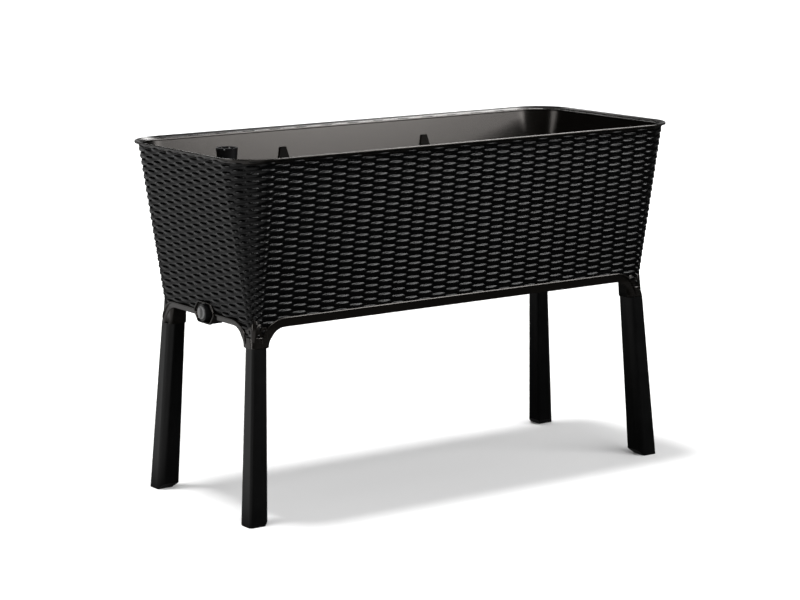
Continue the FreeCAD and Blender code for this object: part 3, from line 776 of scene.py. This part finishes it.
# ---------------------------------------------------------------- the tub's visible pieces
for made in weave():
    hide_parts("basin")
    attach(made, "planter")

SIDES = ("front", "right", "back", "left")
CORNERS = (
    ("front_right", 1, -1),
    ("front_left", -1, -1),
    ("rear_left", -1, 1),
    ("rear_right", 1, 1),
)
shell_pieces = [rim_flange(), inner_shell(), floor_plate(), inner_skirt()]
for side in SIDES:
    shell_pieces += skirt_band(side)
    shell_pieces += skirt_bead(side)
shell_pieces.append(drain_cowl())
for corner_name, sign_x, sign_y in CORNERS:
    shell_pieces.append(corner_collar("collar_" + corner_name, sign_x, sign_y))
    shell_pieces.append(leg_socket("socket_" + corner_name, sign_x, sign_y))
for made in shell_pieces:
    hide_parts("basin")
    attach(made, "planter")


# ---------------------------------------------------------------- finishes of the CAD pieces
EDGE_ROUND = 0.0006
FINISH = {
    "leg_": LEG,
    "soil_grid_": INNER,
    "wick_basket_": INNER,
    "wall_braces_": BRACE,
    "gauge_": BLACK,
    "gauge_window": WINDOW,
    "gauge_float": FLOAT,
    "float_rod": FLOAT,
    "float_marker": MARKER,
    "drain_": DRAIN,
    "drain_gasket": SEAL,
    "knob_seal": SEAL,
    "drain_knob": KNOB,
    "drain_spindle": KNOB,
}


def finish_of(node):
    """The material of a CAD node: that of the longest key its name starts with."""
    fitting = [key for key in FINISH if node.startswith(key)]
    return FINISH[max(fitting, key=len)]


for node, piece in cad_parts.items():
    if node == "basin":
        continue
    piece.data.materials.clear()
    piece.data.materials.append(finish_of(node))
    soften(piece, EDGE_ROUND)


# ---------------------------------------------------------------- studio floor
PAPER_COLOUR = (0.90, 0.90, 0.90)
PAPER_REACH = 40
GLOW = 1.1
GLOW_DARK = 0.05
GLOW_EDGE_X = -0.50
GLOW_FADE = 0.30


def paper_material(name):
    """Plain studio paper."""
    material, shader = new_material(name)
    shader.inputs["Base Color"].default_value = (*PAPER_COLOUR, 1.0)
    shader.inputs["Roughness"].default_value = 1.0
    shader.inputs["Specular IOR Level"].default_value = 0.0
    return material


def glow_in_reflections(material):
    """What anything but the camera sees of the paper: bright to the left of the planter, dark elsewhere."""
    nodes = material.node_tree.nodes
    links = material.node_tree.links
    place = nodes.new("ShaderNodeTexCoord")
    split = nodes.new("ShaderNodeSeparateXYZ")
    spread = nodes.new("ShaderNodeMapRange")
    spread.inputs["From Min"].default_value = GLOW_EDGE_X
    spread.inputs["From Max"].default_value = GLOW_EDGE_X - GLOW_FADE
    spread.inputs["To Min"].default_value = GLOW_DARK
    spread.inputs["To Max"].default_value = GLOW
    glow = nodes.new("ShaderNodeEmission")
    path = nodes.new("ShaderNodeLightPath")
    mix = nodes.new("ShaderNodeMixShader")
    links.new(place.outputs["Object"], split.inputs["Vector"])
    links.new(split.outputs["X"], spread.inputs["Value"])
    links.new(spread.outputs["Result"], glow.inputs["Strength"])
    links.new(path.outputs["Is Camera Ray"], mix.inputs["Fac"])
    links.new(glow.outputs["Emission"], mix.inputs[1])
    links.new(nodes["Principled BSDF"].outputs["BSDF"], mix.inputs[2])
    links.new(mix.outputs["Shader"], nodes["Material Output"].inputs["Surface"])


def studio_floor():
    """The paper that the planter stands on, not part of the planter."""
    paper = paper_material("studio_paper")
    glow_in_reflections(paper)
    reach = PAPER_REACH
    corners = [(-reach, -reach, 0), (reach, -reach, 0), (reach, reach, 0), (-reach, reach, 0)]
    piece = mesh_piece("studio_floor", corners, [(0, 1, 2, 3)], paper, smooth=False)


studio_floor()


# ---------------------------------------------------------------- light
# Angles in degrees: azimuth from +X, counter-clockwise from above, and elevation
MIDDLE = Vector((0.0, 0.0, 0.55))
WORLD_STRENGTH = 0.55
SOFT_BOXES = (
    # name, azimuth, elevation, distance, width and height, brightness
    ("key_box", -30, 46, 4.0, (2.6, 1.1), 24.0),
    ("side_box", -54, 24, 4.0, (1.5, 1.9), 17.0),
    ("front_box", -112, 54, 4.0, (2.8, 0.9), 20.0),
    ("top_box", 38, 44, 4.0, (1.8, 0.8), 16.0),
    ("left_box", 170, 8, 4.0, (1.5, 1.3), 7.0),
    ("rear_box", 84, 38, 4.0, (1.2, 0.7), 12.0),
    ("backdrop_box", 52, 12, 6.0, (8.0, 2.2), 0.45),
)
SUNS = (
    # name, azimuth, elevation, strength, spread
    ("sky_sun", 150, 82, 2.7, 10.0),
    ("fill_sun", -75, 30, 2.1, 60.0),
)


def direction(azimuth, elevation):
    """The way from the planter towards a light."""
    round_angle = math.radians(azimuth)
    rise = math.radians(elevation)
    flat = math.cos(rise)
    return Vector((math.cos(round_angle) * flat, math.sin(round_angle) * flat, math.sin(rise)))


def new_lamp(name, light, way):
    """A lamp object that shines against the way it is seen in."""
    lamp = bpy.data.objects.new(name, light)
    bpy.context.scene.collection.objects.link(lamp)
    lamp.rotation_euler = (-way).to_track_quat("-Z", "Y").to_euler()
    return lamp


def soft_box(name, azimuth, elevation, distance, size, brightness):
    """A soft box seen only in reflections, aimed at the planter. Brightness is its radiance."""
    light = bpy.data.lights.new(name, "AREA")
    light.shape = "RECTANGLE"
    light.size = size[0]
    light.size_y = size[1]
    light.energy = brightness * math.pi * size[0] * size[1]
    way = direction(azimuth, elevation)
    lamp = new_lamp(name, light, way)
    lamp.location = MIDDLE + way * distance
    lamp.visible_diffuse = False
    lamp.visible_camera = False


def sun(name, azimuth, elevation, strength, spread):
    """A wide far light that lights the paper and leaves no reflection."""
    light = bpy.data.lights.new(name, "SUN")
    light.energy = strength
    light.angle = math.radians(spread)
    lamp = new_lamp(name, light, direction(azimuth, elevation))
    lamp.visible_glossy = False


def studio_world():
    """White light from all round that leaves no reflection."""
    world = bpy.data.worlds.new("studio_world")
    bpy.context.scene.world = world
    world.use_nodes = True
    background = world.node_tree.nodes["Background"]
    background.inputs["Color"].default_value = (1.0, 1.0, 1.0, 1.0)
    background.inputs["Strength"].default_value = WORLD_STRENGTH
    world.cycles_visibility.glossy = False


studio_world()
for box in SOFT_BOXES:
    soft_box(*box)
for far_light in SUNS:
    sun(*far_light)


# ---------------------------------------------------------------- camera
VIEW_RIGHT = Vector((0.82386, -0.56676, -0.00641))
VIEW_UP = Vector((0.10797, 0.14582, 0.98340))
VIEW_AHEAD = Vector((0.55641, 0.81088, -0.18133))
CAMERA_PLACE = Vector((-3.01887, -4.36892, 1.36211))
SENSOR_MM = 36.0
LENS_MM = 110.742

camera_data = bpy.data.cameras.new("camera")
camera_data.sensor_width = SENSOR_MM
camera_data.sensor_fit = "HORIZONTAL"
camera_data.lens = LENS_MM
camera = bpy.data.objects.new("camera", camera_data)
bpy.context.scene.collection.objects.link(camera)
turn = Matrix((VIEW_RIGHT, VIEW_UP, -VIEW_AHEAD)).transposed().to_4x4()
turn.translation = CAMERA_PLACE
camera.matrix_world = turn
bpy.context.scene.camera = camera
bpy.context.scene.view_settings.view_transform = "Standard"
